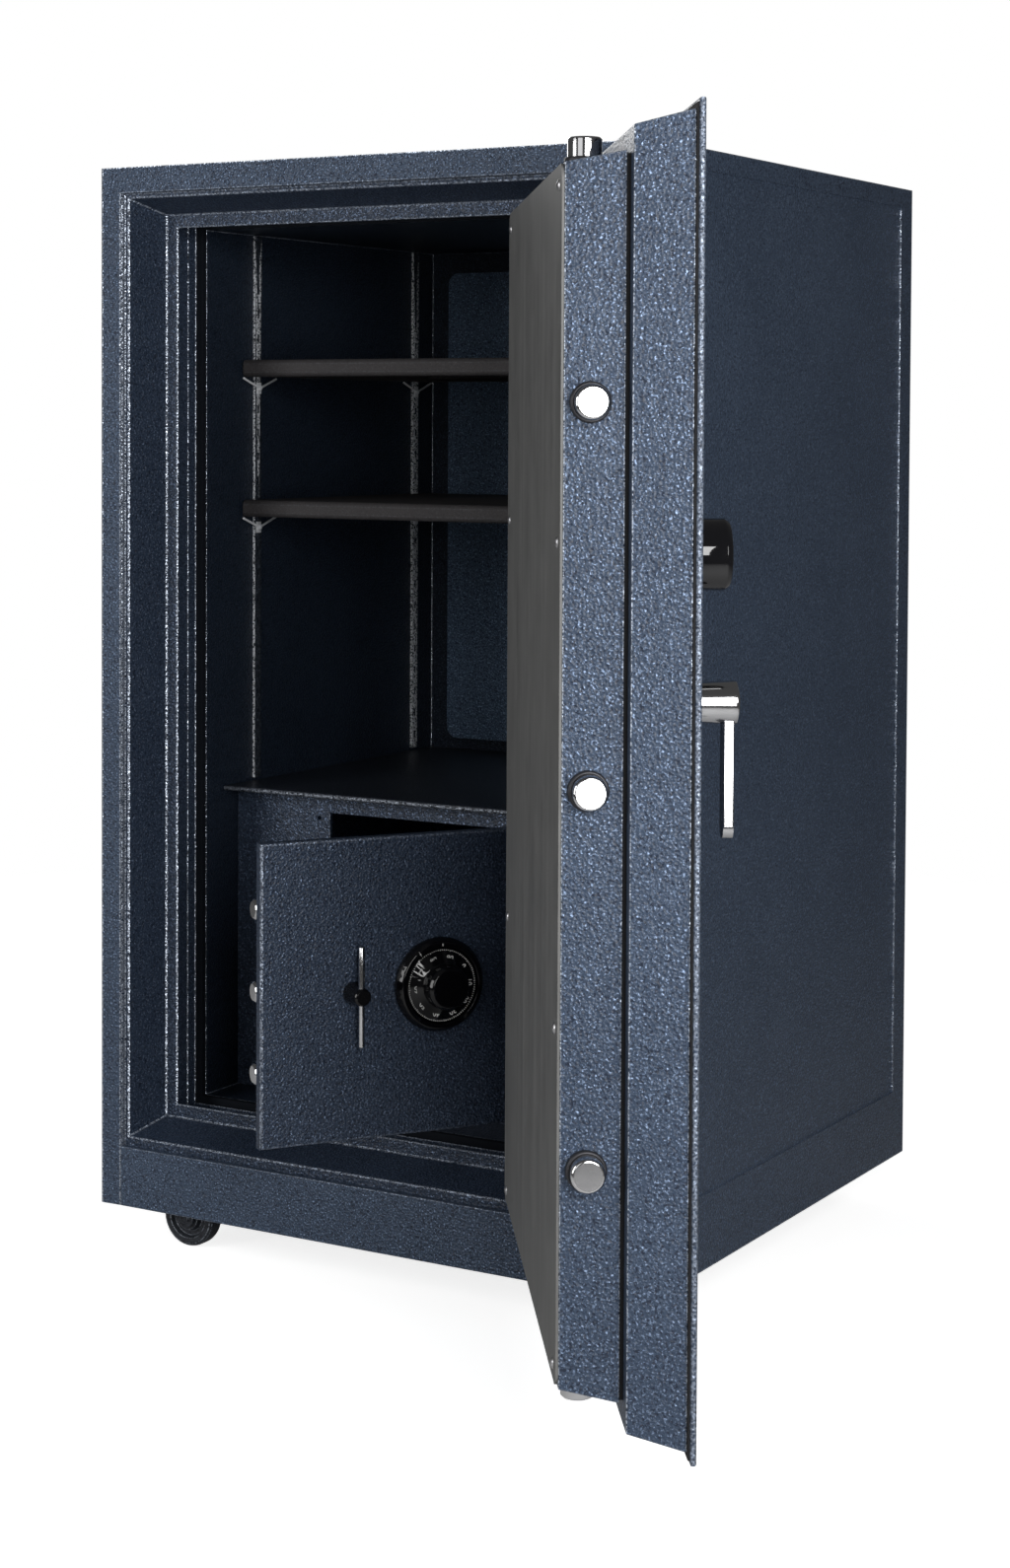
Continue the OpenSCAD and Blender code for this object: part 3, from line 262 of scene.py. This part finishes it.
def streaked(name, base, worn, **changes):
    look = {
        "pattern": {
            "Base": base,
            "Worn": worn,
            "Stretch": changes.get("stretch", (80.0, 80.0, 80.0)),
            "Wear": changes.get("wear", 0.5),
            "Roughness": changes.get("roughness", 0.3),
            "Spread": changes.get("spread", 0.15),
        },
        "shader": {
            "Metallic": changes.get("metallic", 0.0),
            "Specular IOR Level": changes.get("shine", 0.5),
        },
        "bump": changes.get("bump", 0.00005),
    }
    return newFinish(name, streakGroup, look)[0]


# copies of one navy paint: frame, top plate and liner darker as painted shade, back panel lighter as
# painted light
shellPaint = enamel("shellPaint", (0.05, 0.073, 0.116), beads=0.85)
shadedFramePaint = enamel("shadedFramePaint", (0.026, 0.039, 0.066), beads=0.85)
doorPaint = enamel("doorPaint", (0.042, 0.061, 0.098), beads=0.7)
platePaint = enamel("platePaint", (0.042, 0.061, 0.098), beads=0.25)
chestPaint = enamel("chestPaint", (0.035, 0.051, 0.084), beads=0.35)
shadedTopPaint = enamel("shadedTopPaint", (0.024, 0.029, 0.04), flecks=0.3, beads=0.4)
channelPaint = enamel("channelPaint", (0.032, 0.047, 0.077), beads=0.85)
shadedLinerPaint = enamel("shadedLinerPaint", (0.015, 0.023, 0.038), flecks=0.4, beads=0.9)
litBackPaint = enamel("litBackPaint", (0.095, 0.145, 0.22), beads=0.5)
# the shelf standards' rounded edges and narrow folds get a near-white painted highlight
standardPaint = enamel("standardPaint", (0.03, 0.036, 0.046), beads=1.0, beadTone=(0.85, 0.88, 0.93),
                       metal=0.15)
shelfPaint = enamel("shelfPaint", (0.05, 0.046, 0.047), flecks=0.12, pits=0.25, roughness=0.6, beads=0.05,
                    bump=0.0003)
casterPaint = enamel("casterPaint", (0.032, 0.036, 0.045), flecks=0.2, bump=0.0003)
wheelIron = enamel("wheelIron", (0.03, 0.033, 0.04), flecks=0.15, roughness=0.4, bump=0.0003)

chrome = streaked("chrome", (0.6, 0.6, 0.61), (0.5, 0.5, 0.51), metallic=1.0, roughness=0.07, spread=0.06,
                  bump=0.000002)
zincPlate = streaked("zincPlate", (0.5, 0.5, 0.51), (0.33, 0.33, 0.34), metallic=1.0, wear=0.6)
blackSteel = streaked("blackSteel", (0.03, 0.03, 0.034), (0.055, 0.055, 0.06), metallic=0.6,
                      roughness=0.4)
brightWire = streaked("brightWire", (0.88, 0.9, 0.93), (0.75, 0.77, 0.8), metallic=0.2, roughness=0.3)
panelGrey = streaked("panelGrey", (0.1, 0.1, 0.098), (0.225, 0.225, 0.221), stretch=(110.0, 110.0, 2.0),
                     wear=0.8, roughness=0.5, shine=0.3, bump=0.0001)
# the seal is black rubber; the two break strips are real heat breaks, but their near black is painted
# shade of the gaps
breakShadeBlack = streaked("breakShadeBlack", (0.005, 0.007, 0.011), (0.009, 0.011, 0.016), roughness=0.7, shine=0.15)
sealBlackAndShade = streaked("sealBlackAndShade", (0.012, 0.012, 0.013), (0.03, 0.03, 0.032), roughness=0.75, shine=0.2)
mineralFill = streaked("mineralFill", (0.5, 0.48, 0.45), (0.62, 0.6, 0.57), roughness=0.9, bump=0.0006)
dialBlack = streaked("dialBlack", (0.003, 0.003, 0.004), (0.005, 0.005, 0.006), roughness=0.02,
                     spread=0.02, shine=0.8, bump=0.000001)
chestDialBlack = streaked("chestDialBlack", (0.003, 0.003, 0.004), (0.005, 0.005, 0.006), roughness=0.03,
                          spread=0.02, shine=0.35, bump=0.000001)
dialWhite = streaked("dialWhite", (0.92, 0.92, 0.9), (0.78, 0.78, 0.76), stretch=(900.0, 900.0, 900.0),
                     roughness=0.5)
print("finishes made")

# The finish of each solid, where no rounded piece stands for it
finishes = {
    shellPaint: ["outer_shell", "front_skirt", "hinge_leaves"],
    shadedFramePaint: ["door_frame"],
    channelPaint: ["bolt_channel"],
    shadedLinerPaint: ["inner_liner", "base_plate"],
    litBackPaint: ["back_panel"],
    standardPaint: ["shelf_standards"],
    shadedTopPaint: ["chest_top_plate"],
    chestPaint: ["chest_front", "chest_door", "chest_body"],
    platePaint: ["door_plate"],
    doorPaint: ["door_plug", "bolt_box", "door_hinge_leaves"],
    breakShadeBlack: ["thermal_break"],
    sealBlackAndShade: ["door_seal", "door_break"],
    mineralFill: ["body_fill", "door_fill"],
    shelfPaint: ["upper_shelf", "lower_shelf"],
    panelGrey: ["inner_panel"],
    chrome: ["side_bolts", "top_bolt", "bottom_bolt", "handle_hub", "handle_lever",
             "handle_escutcheon", "chest_bolts", "chest_handle_bar"],
    blackSteel: ["bolt_bushings"],
    brightWire: ["shelf_clips"],
    zincPlate: ["hinge_pins", "caster_plates", "caster_bolts", "panel_screws", "lock_body", "bolt_bar",
                "handle_cam", "chest_lock_body", "chest_bolt_guide", "chest_bolt_bar", "chest_cam"],
    dialBlack: ["dial", "dial_ring"],
    chestDialBlack: ["chest_dial", "chest_dial_ring", "chest_handle_shank"],
    casterPaint: ["fork_front_left", "fork_front_right", "fork_rear_left", "fork_rear_right"],
    wheelIron: ["wheel_front_left", "wheel_front_right", "wheel_rear_left", "wheel_rear_right"],
}
finishOf = {}
for finish, names in finishes.items():
    for name in names:
        finishOf[name] = finish
        slots = nodes[name].data.materials
        slots.clear()
        slots.append(finish)
bodies = frame["record"]["behaviour"]["bodies"]
bodyOf = {name: body for body, names in bodies.items() for name in names}
print("solids finished")


# Pieces: metres for a width or distance, degrees for an angle
shading = {"broadFace": 0.006, "sharpFrom": 34}


def longestEdge(face):
    return max(edge.calc_length() for edge in face.edges)


def finishPiece(name, bm, body, finish, hides=()):
    bm.faces.index_update()
    broad = []
    for face in bm.faces:
        face.smooth = True
        if face.calc_area() > shading["broadFace"] * longestEdge(face):
            broad.append(face.index)
    mesh = bpy.data.meshes.new(name)
    bm.to_mesh(mesh)
    bm.free()
    mesh.set_sharp_from_angle(angle=radians(shading["sharpFrom"]))
    # a broad face keeps its own normal, so that the rounding beside it doesn't shade it
    for index in broad:
        mesh.polygons[index].use_smooth = False
    mesh.materials.append(finish)
    piece = bpy.data.objects.new(name, mesh)
    bpy.context.scene.collection.objects.link(piece)
    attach(piece, body)
    if hides:
        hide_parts(*hides)


def mergedCopy(node):
    merging = {"distance": 1e-6, "flatBelow": 0.6}
    bm = bmesh.new()
    bm.from_mesh(nodes[node].data)
    bmesh.ops.remove_doubles(bm, verts=bm.verts, dist=merging["distance"])
    flat = radians(merging["flatBelow"])
    bmesh.ops.dissolve_limit(bm, angle_limit=flat, verts=bm.verts, edges=bm.edges)
    return bm


# how strong the painted highlight is on upright and on level roundings, and down narrow upright folds
# upright edges get the stronger painted highlight, as the lamps at the sides would glint on them
edgeHighlightShares = {"upright": 1.0, "level": 0.35, "uprightBelow": 0.2, "narrowFold": 0.0032, "longFold": 0.1}


def isUpright(face):
    return abs(face.normal.z) < edgeHighlightShares["uprightBelow"]


def roundEdges(bm, width, longerThan):
    # rounds the sharp edges longer than this, and marks them with a painted highlight
    rounding = {"sharpFrom": 28, "segments": 2}
    mark = bm.faces.layers.float.new("paintedEdgeHighlight")
    sharp = [edge for edge in bm.edges if edge.is_manifold and edge.calc_length() > longerThan
             and edge.calc_face_angle() > radians(rounding["sharpFrom"])]
    made = bmesh.ops.bevel(bm, geom=sharp, affect="EDGES", offset=width, offset_type="OFFSET",
                           segments=rounding["segments"], profile=0.5, clamp_overlap=longerThan == 0,
                           material=-1)
    bm.normal_update()
    for face in made["faces"]:
        face[mark] = edgeHighlightShares["upright"] if isUpright(face) else edgeHighlightShares["level"]
    for face in bm.faces:
        length = longestEdge(face)
        narrow = length > edgeHighlightShares["longFold"] and face.calc_area() < length * edgeHighlightShares["narrowFold"]
        if narrow and isUpright(face):
            face[mark] = edgeHighlightShares["upright"]


def roundedCopy(node, width, longerThan):
    # a solid again, with rounded edges, in its own finish
    bm = mergedCopy(node)
    roundEdges(bm, width, longerThan)
    finishPiece(node + "_rounded", bm, bodyOf[node], finishOf[node], (node,))


# width of the rounding in metres, as the sheet or the turned piece has it
roundings = {
    0.0014: ["chest_top_plate", "door_frame"],
    0.001: ["front_skirt", "upper_shelf", "lower_shelf"],
    0.0009: ["inner_liner", "bolt_channel"],
    0.0008: ["hinge_leaves", "door_hinge_leaves", "chest_body", "dial", "chest_dial", "dial_ring",
             "chest_dial_ring"],
    0.0006: ["side_bolts", "top_bolt", "bottom_bolt",
             "handle_hub", "handle_escutcheon", "chest_handle_shank",
             "fork_front_left", "fork_front_right", "fork_rear_left", "fork_rear_right",
             "wheel_front_left", "wheel_front_right", "wheel_rear_left", "wheel_rear_right"],
    0.0004: ["bolt_bushings", "chest_bolts", "chest_handle_bar", "chest_lock_body", "chest_bolt_guide",
             "chest_bolt_bar"],
    0.0002: ["shelf_clips"],
}
# these have small holes or curves, so only their edges longer than longEdge are rounded
longEdge = 0.012
longRoundings = {
    0.0014: ["door_plate"],
    0.001: ["outer_shell", "chest_door"],
    0.0009: ["door_plug", "bolt_box", "handle_lever", "back_panel"],
    0.0007: ["inner_panel"],
    0.0006: ["chest_front"],
    0.0004: ["shelf_standards"],
}
for widths, longerThan in ((roundings, 0), (longRoundings, longEdge)):
    for width, names in widths.items():
        for name in names:
            roundedCopy(name, width, longerThan)
print("solids rounded")


def facingOut(x, y, z):
    # a piece drawn lying on XY, facing up, stands on a face that looks towards the front
    return Matrix.Translation((x, y, z)) @ Matrix.Rotation(radians(90), 4, "X")


def addBox(bm, size, place):
    bmesh.ops.create_cube(bm, size=1, matrix=place @ Matrix.Diagonal((*size, 1)))


def addText(bm, words, size, depth, place):
    boldStroke = 0.02
    curve = bpy.data.curves.new("numeral", "FONT")
    curve.body = words
    curve.size = size
    curve.extrude = depth
    curve.offset = size * boldStroke
    curve.align_x = "CENTER"
    curve.align_y = "CENTER"
    curve.resolution_u = 3
    holder = bpy.data.objects.new("numeral", curve)
    bpy.context.scene.collection.objects.link(holder)
    bpy.context.view_layer.update()
    mesh = bpy.data.meshes.new_from_object(holder.evaluated_get(bpy.context.evaluated_depsgraph_get()))
    mesh.transform(place)
    bm.from_mesh(mesh)
    bpy.data.objects.remove(holder)
    bpy.data.curves.remove(curve)
    bpy.data.meshes.remove(mesh)


# Plain numbers and graduations of a dial, on the cone between its rim and its knob
dialMarks = {"count": 100, "tenthLength": 1.5, "fifthLength": 1.25, "raised": 0.12, "numeralRaised": 0.06}


def dialPrint(name, body, onPlate, dial):
    bm = bmesh.new()
    rimR, rimH = dial["rim"]
    footR, footH = dial["foot"]
    tilt = Matrix.Rotation(-(rimH - footH) / (rimR - footR), 4, "X")
    stepTurn = 360 / dialMarks["count"]

    def onCone(radius, step):
        height = rimH + (footH - rimH) * (rimR - radius) / (rimR - footR)
        around = onPlate @ Matrix.Rotation(radians(-(step * stepTurn + dial["zeroTurn"])), 4, "Z")
        return around @ Matrix.Translation((0, radius, height)) @ tilt

    for step in range(dialMarks["count"]):
        length = dial["tick"]
        if step % 10 == 0:
            length *= dialMarks["tenthLength"]
        elif step % 5 == 0:
            length *= dialMarks["fifthLength"]
        place = onCone(dial["tickOuter"] - length / 2, step)
        addBox(bm, (dial["line"], length, dialMarks["raised"]), place)
    for step in range(0, dialMarks["count"], 10):
        place = onCone(dial["numeralR"], step)
        addText(bm, str(step), dial["numeral"], dialMarks["numeralRaised"], place)
    finishPiece(name, bm, body, dialWhite)


# The marks on the fixed ring that a dial is read against: a small fan of lines at the top, and beside it
# two short lines with a dot between them
ringMarks = {
    "markR": 39.4, "height": 12.03, "line": 0.45, "raised": 0.12,
    "fan": {-32: 2.6, 0: 1.6, 32: 2.6}, "fanFoot": 1.2,
    "secondTurn": 36, "secondLines": ((-1.6, 1.2), (1.9, 1.5)),
    "dot": {"segments": 16, "radius1": 0.7, "radius2": 0.6, "depth": 0.16},
}


def ringPrint(name, body, onPlate, ring):
    bm = bmesh.new()
    top = Matrix.Translation((0, ring["markR"], ring["height"]))
    for lean, length in ring["fan"].items():
        arm = top @ Matrix.Rotation(radians(lean), 4, "Z")
        along = Matrix.Translation((0, length / 2 - ring["fanFoot"], 0))
        addBox(bm, (ring["line"], length, ring["raised"]), onPlate @ arm @ along)
    second = onPlate @ Matrix.Rotation(radians(ring["secondTurn"]), 4, "Z")
    for outward, length in ring["secondLines"]:
        along = Matrix.Translation((0, ring["markR"] + outward, ring["height"]))
        addBox(bm, (ring["line"], length, ring["raised"]), second @ along)
    bmesh.ops.create_cone(bm, cap_ends=True, matrix=second @ top, **ring["dot"])
    finishPiece(name, bm, body, dialWhite)


chestDial = {
    "rim": (36, 9), "foot": (23, 14), "zeroTurn": 50.5, "tick": 2.4, "tickOuter": 34.8, "line": 0.8,
    "numeral": 7.2, "numeralR": 27.2, "place": (18, 147.3, 271),
}
outerDial = {
    "rim": (36, 11), "foot": (31, 16), "zeroTurn": 20, "tick": 1.6, "tickOuter": 35.6, "line": 0.5,
    "numeral": 3.4, "numeralR": 32.3, "place": (-110, 1, 709),
}
atChestDial = onChestDoor @ facingOut(*chestDial["place"])
atOuterDial = onDoor @ facingOut(*outerDial["place"])
dialPrint("chest_dial_print", "chest_dial_knob", atChestDial, chestDial)
ringPrint("chest_ring_print", "chest_door_leaf", atChestDial, ringMarks)
dialPrint("outer_dial_print", "outer_dial", atOuterDial, outerDial)
ringPrint("outer_ring_print", "outer_door", atOuterDial, ringMarks)
print("dials printed")


# Domed screws with a slot, which hold the cover sheet of the door. The profile runs from the dome's top
# to the end of the shank.
panelScrews = {
    "xs": (-225, 225), "zs": (124, 370, 723, 980), "depth": 98, "rowTurn": 40, "columnTurn": 65,
    "profile": ((0, 2.1), (1.4, 1.95), (2.7, 1.55), (3.8, 0.85), (4.45, 0), (2, 0), (2, -6), (0, -6)),
    "sides": 24, "slotWidth": 0.9, "slotDepth": 0.8, "slotAbove": 0.6,
}


def domedScrew(bm, screw, place):
    head = bmesh.new()
    verts = [head.verts.new((radius, 0, height)) for radius, height in screw["profile"]]
    edges = [head.edges.new(pair) for pair in zip(verts, verts[1:])]
    bmesh.ops.spin(head, geom=verts + edges, axis=(0, 0, 1), cent=(0, 0, 0), angle=2 * pi,
                   steps=screw["sides"], use_merge=True)
    bmesh.ops.remove_doubles(head, verts=head.verts, dist=1e-4)
    bmesh.ops.recalc_face_normals(head, faces=head.faces)
    half = screw["slotWidth"] / 2
    for side in (-half, half):
        bmesh.ops.bisect_plane(head, geom=head.verts[:] + head.edges[:] + head.faces[:], dist=1e-5,
                               plane_co=(side, 0, 0), plane_no=(1, 0, 0))
    centres = {face: face.calc_center_median() for face in head.faces}
    floor = [face for face, centre in centres.items()
             if abs(centre.x) < half and centre.z > screw["slotAbove"]]
    made = bmesh.ops.extrude_face_region(head, geom=floor)
    bmesh.ops.delete(head, geom=floor, context="FACES")
    sunk = [item for item in made["geom"] if isinstance(item, bmesh.types.BMVert)]
    bmesh.ops.translate(head, verts=sunk, vec=(0, 0, -screw["slotDepth"]))
    bmesh.ops.transform(head, matrix=place, verts=head.verts)
    mesh = bpy.data.meshes.new("screw")
    head.to_mesh(mesh)
    head.free()
    bm.from_mesh(mesh)
    bpy.data.meshes.remove(mesh)


bm = bmesh.new()
for column, x in enumerate(panelScrews["xs"]):
    for row, z in enumerate(panelScrews["zs"]):
        inward = Matrix.Translation((x, panelScrews["depth"], z)) @ Matrix.Rotation(radians(-90), 4, "X")
        turn = panelScrews["rowTurn"] * row + panelScrews["columnTurn"] * column
        domedScrew(bm, panelScrews, onDoor @ inward @ Matrix.Rotation(radians(turn), 4, "Z"))
finishPiece("cover_screws", bm, "outer_door", zincPlate, ("panel_screws",))
print("screws turned")


# Lamps, floor, backdrop and camera
def softbox(name, lamp):
    data = bpy.data.lights.new(name, "AREA")
    data.shape = "RECTANGLE"
    data.size, data.size_y = lamp["size"]
    data.energy = lamp["watts"]
    light = bpy.data.objects.new(name, data)
    bpy.context.scene.collection.objects.link(light)
    place, aim = Vector(lamp["place"]), Vector(lamp["aim"])
    light.location = place
    light.rotation_euler = (aim - place).to_track_quat("-Z", "Y").to_euler()


studio = {
    "keySoftbox": {
        "place": (1.63, -1.9, 0.92), "aim": (0.55, -0.72, 0.78), "size": (0.7, 1.28), "watts": 36,
    },
    "sideSoftbox": {
        "place": (2.25, -1.54, 1.15), "aim": (0.6, -0.4, 0.85), "size": (0.25, 0.9), "watts": 6,
    },
    "frontSoftbox": {
        "place": (0.4, -3.0, 1.3), "aim": (0.1, -0.3, 0.6), "size": (1.2, 1.6), "watts": 6,
    },
    "leftSoftbox": {
        "place": (-1.15, -2.5, 0.95), "aim": (-0.2, -0.3, 0.6), "size": (0.9, 1.4), "watts": 22,
    },
    "rearSoftbox": {
        "place": (-2.3, 2.2, 1.6), "aim": (-0.2, 0.2, 0.6), "size": (1.2, 1.6), "watts": 30,
    },
}
for name, lamp in studio.items():
    softbox(name, lamp)

# the backdrop is white to the camera and dim to the object; the floor is pale but throws little light back
surroundings = {
    "ambient": 0.05, "mirrored": 0.08,
    "floorZ": -0.0475, "floorHalf": 3, "floorTone": 0.8, "floorForObject": 0.06, "floorRoughness": 0.9,
    "floorWhite": 0.8, "floorFull": 1.3, "floorGone": 2.4,
}
world = bpy.data.worlds.new("whiteStudio")
bpy.context.scene.world = world
world.use_nodes = True
tree = world.node_tree
path = addNode(tree, "LightPath")
seen = mathNode(tree, "MULTIPLY", path.outputs["Is Camera Ray"], 1 - surroundings["ambient"])
mirrored = mathNode(tree, "MULTIPLY", path.outputs["Is Glossy Ray"],
                    surroundings["mirrored"] - surroundings["ambient"])
strength = mathNode(tree, "ADD", mathNode(tree, "ADD", seen, mirrored), surroundings["ambient"])
background = next(n for n in tree.nodes if n.type == "BACKGROUND")
background.inputs["Color"].default_value = (1, 1, 1, 1)
tree.links.new(strength, background.inputs["Strength"])

floorFinish = bpy.data.materials.new("paleFloor")
floorFinish.use_nodes = True
tree = floorFinish.node_tree
shader = next(n for n in tree.nodes if n.type == "BSDF_PRINCIPLED")
path = addNode(tree, "LightPath")
dimmed = mathNode(tree, "MULTIPLY", path.outputs["Is Diffuse Ray"],
                  surroundings["floorTone"] - surroundings["floorForObject"])
pale = mathNode(tree, "SUBTRACT", surroundings["floorTone"], dimmed)
tone = addNode(tree, "CombineColor")
for label in ("Red", "Green", "Blue"):
    tree.links.new(pale, tone.inputs[label])
tree.links.new(tone.outputs["Color"], shader.inputs["Base Color"])
shader.inputs["Roughness"].default_value = surroundings["floorRoughness"]
shader.inputs["Specular IOR Level"].default_value = 0.0
shader.inputs["Emission Color"].default_value = (1, 1, 1, 1)
tree.links.new(mathNode(tree, "MULTIPLY", path.outputs["Is Camera Ray"], surroundings["floorWhite"]),
               shader.inputs["Emission Strength"])
# the floor thins out with distance, so that no edge of it shows against the backdrop
away = addNode(tree, "VectorMath", operation="LENGTH")
tree.links.new(addNode(tree, "TexCoord").outputs["Object"], away.inputs[0])
faded = rampNode(tree, away.outputs["Value"], surroundings["floorFull"], surroundings["floorGone"])
tree.links.new(mathNode(tree, "SUBTRACT", 1.0, faded), shader.inputs["Alpha"])
bm = bmesh.new()
bmesh.ops.create_grid(bm, x_segments=1, y_segments=1, size=surroundings["floorHalf"])
bmesh.ops.translate(bm, verts=bm.verts, vec=(0, 0, surroundings["floorZ"]))
mesh = bpy.data.meshes.new("studioFloor")
bm.to_mesh(mesh)
bm.free()
mesh.materials.append(floorFinish)
floor = bpy.data.objects.new("studioFloor", mesh)
bpy.context.scene.collection.objects.link(floor)

view = {
    "place": (1.45444, -2.52846, 0.80872), "yaw": 30.225, "pitch": 2.025, "roll": 0.284, "lens": 62.78,
    "sensor": 36, "shiftY": -0.1684,
}
yaw, pitch, roll = radians(view["yaw"]), radians(view["pitch"]), radians(view["roll"])
forward = Vector((-sin(yaw) * cos(pitch), cos(yaw) * cos(pitch), -sin(pitch)))
level = Vector((cos(yaw), sin(yaw), 0))
upward = level.cross(forward)
across = level * cos(roll) + upward * sin(roll)
turned = Matrix((across, upward * cos(roll) - level * sin(roll), -forward))
lens = bpy.data.cameras.new("photoCamera")
lens.lens = view["lens"]
lens.sensor_width = view["sensor"]
lens.shift_y = view["shiftY"]
camera = bpy.data.objects.new("photoCamera", lens)
bpy.context.scene.collection.objects.link(camera)
camera.matrix_world = Matrix.Translation(view["place"]) @ turned.transposed().to_4x4()
bpy.context.scene.camera = camera
bpy.context.scene.view_settings.view_transform = "Standard"
print("studio set")
